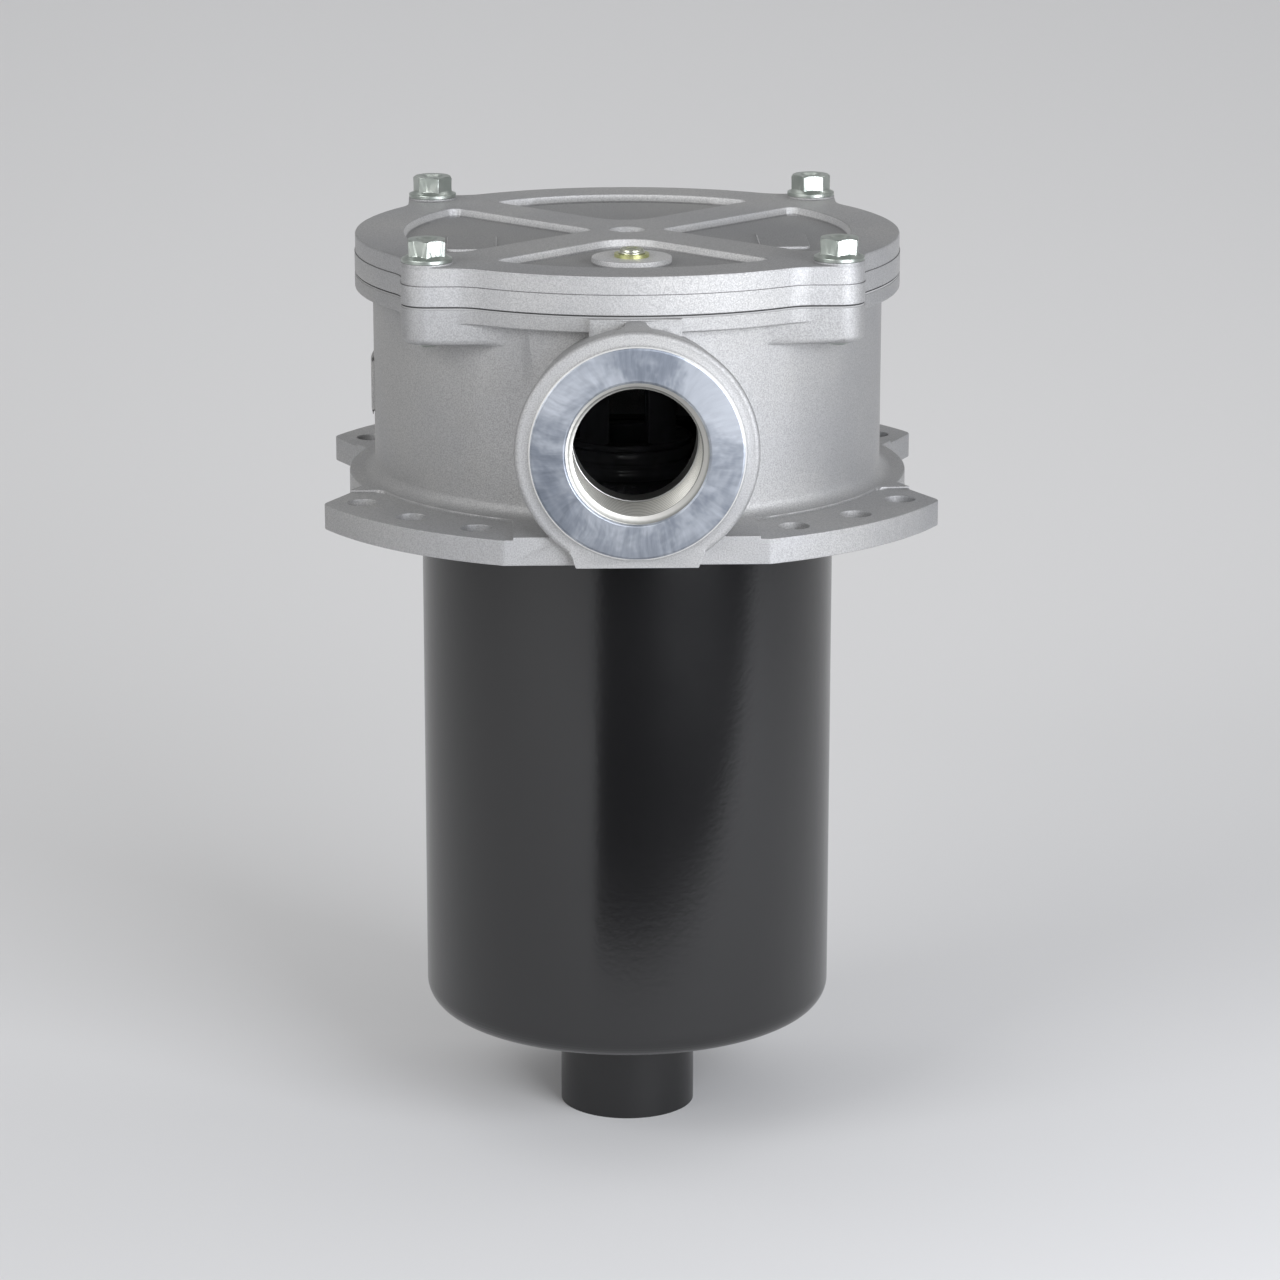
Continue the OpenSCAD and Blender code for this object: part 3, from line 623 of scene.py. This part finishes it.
# Bare raised plates in the side pockets of the cover, with painted shade on their tops and a painted
# highlight on their edges
barePlates = {
    "width": 0.018,
    "length": 0.031,
    "rise": 0.0009,
    "sink": 0.0002,             # how far a plate reaches into the floor below it
    "floor": 0.33445,           # height of the pockets' floor
    "corner": 0.003,
    "topRound": 0.45,           # the top edge's round, and the height of the edge's painted highlight, as shares of the rise
    "edgeShare": 0.9,
    # Gains of painted shade on the top and painted highlight on the edge
    "topShadeGain": 0.8,
    "edgeHighlightGain": 1.6,
    "places": {"plateLeft": (-0.057, -0.0135), "plateRight": (0.0565, -0.011)},
}


def plateFinish(name, look, p):
    f, shade, rough, height = castBase(name, look)
    z = f.axes()[2]
    # Painted shade on the top, painted highlight on the edge below it
    gain = p["topShadeGain"] + (z < p["floor"] + p["rise"] * p["edgeShare"]) * (p["edgeHighlightGain"] - p["topShadeGain"])
    return castSet(f, look, f.scaled(shade, gain), rough, height)


barePlates["finish"] = plateFinish("barePlate", castLook, barePlates)


def makePlate(p, name, x, y):
    deselectAll()
    bpy.ops.mesh.primitive_cube_add(size=1, location=(x, y, p["floor"] + p["rise"] / 2 - p["sink"] / 2))
    plate = bpy.context.object
    plate.name = name
    plate.scale = (p["width"], p["length"], p["rise"] + p["sink"])
    applyPlace(plate)
    pick(plate, lambda centre, along: abs(along.z) > p["rise"] / 2, "EDGE")
    bpy.ops.mesh.bevel(offset=p["corner"], segments=6, affect="EDGES")
    pick(plate, lambda centre, normal: normal.z > 0.9)
    bpy.ops.mesh.bevel(offset=p["rise"] * p["topRound"], segments=2, affect="EDGES")
    bpy.ops.object.mode_set(mode="OBJECT")
    bpy.ops.object.shade_smooth_by_angle(angle=math.radians(20))
    dress(plate, p["finish"])
    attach(plate, "housing")


for name, (x, y) in barePlates["places"].items():
    makePlate(barePlates, name, x, y)
print("bare plates ready")

# Studio: pale sweep, soft lights, dim world, and the sweep painted dark for glossy rays in front, a painted
# dark reflection
studio = {
    "floorHalf": 3.0,
    "backAt": 0.5,              # where the floor starts to rise behind the object
    "backRise": 2.4,            # radius of the sweep
    "wallTop": 4.0,
    "darkReflectionEdge": -0.33,         # in front of this line glossy rays see the sweep painted dark, a painted dark reflection
    "darkReflectionFrom": -17.6,          # left end of that painted dark reflection, in degrees from the view
    "pale": (0.75, 0.75, 0.755),
    "dark": (0.03, 0.03, 0.03),
    "world": 0.26,
    "worldColour": (1, 1, 1.01, 1),
}


def makeSweep(s):
    half, back, rise = s["floorHalf"], s["backAt"], s["backRise"]
    deselectAll()
    bpy.ops.mesh.primitive_plane_add(size=1, location=(0, (back - half) / 2, 0))
    sweep = bpy.context.object
    sweep.name = "sweep"
    sweep.scale = (2 * half, back + half, 1)
    applyPlace(sweep)
    pick(sweep, lambda centre, along: abs(centre.y - back) < 0.001, "EDGE")
    bpy.ops.mesh.spin(steps=32, angle=math.radians(-90), center=(0, back, rise), axis=(1, 0, 0))
    bpy.ops.mesh.extrude_region_move(TRANSFORM_OT_translate={"value": (0, 0, s["wallTop"] - rise)})
    bpy.ops.mesh.select_all(action="SELECT")
    bpy.ops.mesh.normals_make_consistent(inside=False)
    bpy.ops.object.mode_set(mode="OBJECT")
    bpy.ops.object.shade_smooth()
    f = Finish("sweepPaper")
    x, y = f.axes()[:2]
    # Painted dark reflection: glossy rays see the sweep dark in front and to the right
    slope = math.tan(math.radians(s["darkReflectionFrom"]))
    front = y < s["darkReflectionEdge"]
    right = (x + y * slope) > 0
    glossy = f.node("ShaderNodeLightPath", {}, {}, "Is Glossy Ray")
    darkReflectionMask = front * right * glossy
    f.set(colour=f.mixColour(darkReflectionMask, s["pale"], s["dark"]), roughness=0.9, specular=0.0)
    sweep.data.materials.append(f.material)


# Angles in degrees, seen from the point aimed at
lamps = {
    "key": {"azimuth": 34, "elevation": 13, "distance": 1.15, "size": (0.75, 0.65), "power": 15,
            "colour": (0.965, 0.985, 1.03)},
    "fill": {"azimuth": -48, "elevation": 25, "distance": 1.4, "size": (0.8, 0.8), "power": 8},
    "backdrop": {"azimuth": 0, "elevation": 40, "distance": 1.6, "size": (3.0, 0.8), "power": 11,
                 "aim": (0, 1.7, 0.1)},
}


def softBox(name, azimuth, elevation, distance, size, power, aim=(0, 0, 0.2), colour=(1, 1, 1)):
    data = bpy.data.lights.new(name, "AREA")
    data.shape = "RECTANGLE"
    data.size, data.size_y = size
    data.energy = power
    data.color = colour
    lamp = bpy.data.objects.new(name, data)
    bpy.context.collection.objects.link(lamp)
    az, el = math.radians(azimuth), math.radians(elevation)
    away = Vector((math.sin(az) * math.cos(el), -math.cos(az) * math.cos(el), math.sin(el)))
    lamp.location = Vector(aim) + away * distance
    lamp.rotation_euler = away.to_track_quat("Z", "Y").to_euler()


makeSweep(studio)
for name, lamp in lamps.items():
    softBox(name, **lamp)
world = bpy.data.worlds.new("room")
bpy.context.scene.world = world
world.use_nodes = True
world.node_tree.nodes["Background"].inputs["Color"].default_value = studio["worldColour"]
world.node_tree.nodes["Background"].inputs["Strength"].default_value = studio["world"]
bpy.context.scene.view_settings.view_transform = "Standard"
print("studio ready")
